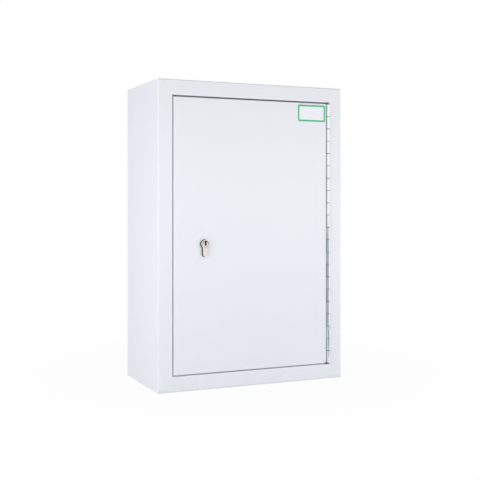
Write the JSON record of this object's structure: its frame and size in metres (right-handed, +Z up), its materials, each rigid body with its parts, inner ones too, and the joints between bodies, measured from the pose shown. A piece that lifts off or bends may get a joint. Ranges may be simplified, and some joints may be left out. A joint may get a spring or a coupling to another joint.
{
  "type": "lockable medicine cabinet",
  "caption": "Wall cabinet of folded sheet steel with an inset locking door on a piano hinge, a half profile cylinder with its deadbolt, and shelves on slotted strips.",
  "frame": {"origin": "middle of the base face, which is the foot of the closed cabinet", "axes": "+Z up the height, +Y towards the wall behind the cabinet, +X towards the hinge side; the door faces -Y"},
  "size_m": [0.4, 0.205, 0.6],
  "materials": {
    "powder_coat": "smooth white powder coat on steel",
    "zinc_plate": "bright zinc plate",
    "bare_steel": "bright drawn steel",
    "satin_nickel": "satin nickel on brass",
    "brass": "turned",
    "black_rubber": "matt",
    "label_plastic": "satin white film with a green edge"
  },
  "bodies": {
    "cabinet": {"left_side_panel": "powder_coat", "right_side_panel": "powder_coat", "top_panel": "powder_coat", "bottom_panel": "powder_coat", "back_panel": "powder_coat", "shelf_strips": "zinc_plate", "lower_shelf_clips": "zinc_plate", "upper_shelf_clips": "zinc_plate", "door_stops": "powder_coat", "door_buffers": "black_rubber", "hinge_frame_leaf": "zinc_plate", "hinge_pin": "bare_steel", "hinge_frame_rivets": "bare_steel"},
    "door": {"door_panel": "powder_coat", "door_stiffener": "powder_coat", "hinge_door_leaf": "zinc_plate", "hinge_door_rivets": "bare_steel", "door_label": "label_plastic", "lock_case": "zinc_plate", "lock_case_cover": "zinc_plate", "lock_forend": "zinc_plate", "lock_spacers": "zinc_plate", "lock_case_screws": "bare_steel", "bolt_guide_pin": "bare_steel", "cylinder_body": "satin_nickel", "cylinder_fixing_screw": "bare_steel", "driver_pins": "bare_steel", "pin_springs": "bare_steel"},
    "plug": {"lock_plug": "satin_nickel", "key_pins": "brass", "lock_cam": "bare_steel", "cam_circlip": "bare_steel"},
    "bolt": {"deadbolt": "bare_steel"},
    "lower_shelf": {"lower_shelf": "powder_coat"},
    "upper_shelf": {"upper_shelf": "powder_coat"}
  },
  "joints": [
    {"name": "door_swing", "type": "hinge", "parent": "cabinet", "child": "door", "pos_m": [0.1695, -0.101, 0.2995], "axis": [0, 0, 1], "range_deg": [0, 175]},
    {"name": "plug_turn", "type": "hinge", "parent": "door", "child": "plug", "pos_m": [-0.105, -0.105, 0.283], "axis": [0, -1, 0], "range_deg": [0, 90]},
    {"name": "bolt_throw", "type": "slide", "parent": "door", "child": "bolt", "axis": [-1, 0, 0], "range_m": [0, 0.02]},
    {"name": "lower_shelf_lift", "type": "slide", "parent": "cabinet", "child": "lower_shelf", "axis": [0, 0, 1], "range_m": [0, 0.04]},
    {"name": "upper_shelf_lift", "type": "slide", "parent": "cabinet", "child": "upper_shelf", "axis": [0, 0, 1], "range_m": [0, 0.04]}
  ],
  "couplings": [
    {"joint": "plug_turn", "follows": "bolt_throw", "rad_per_m": 78.53}
  ]
}
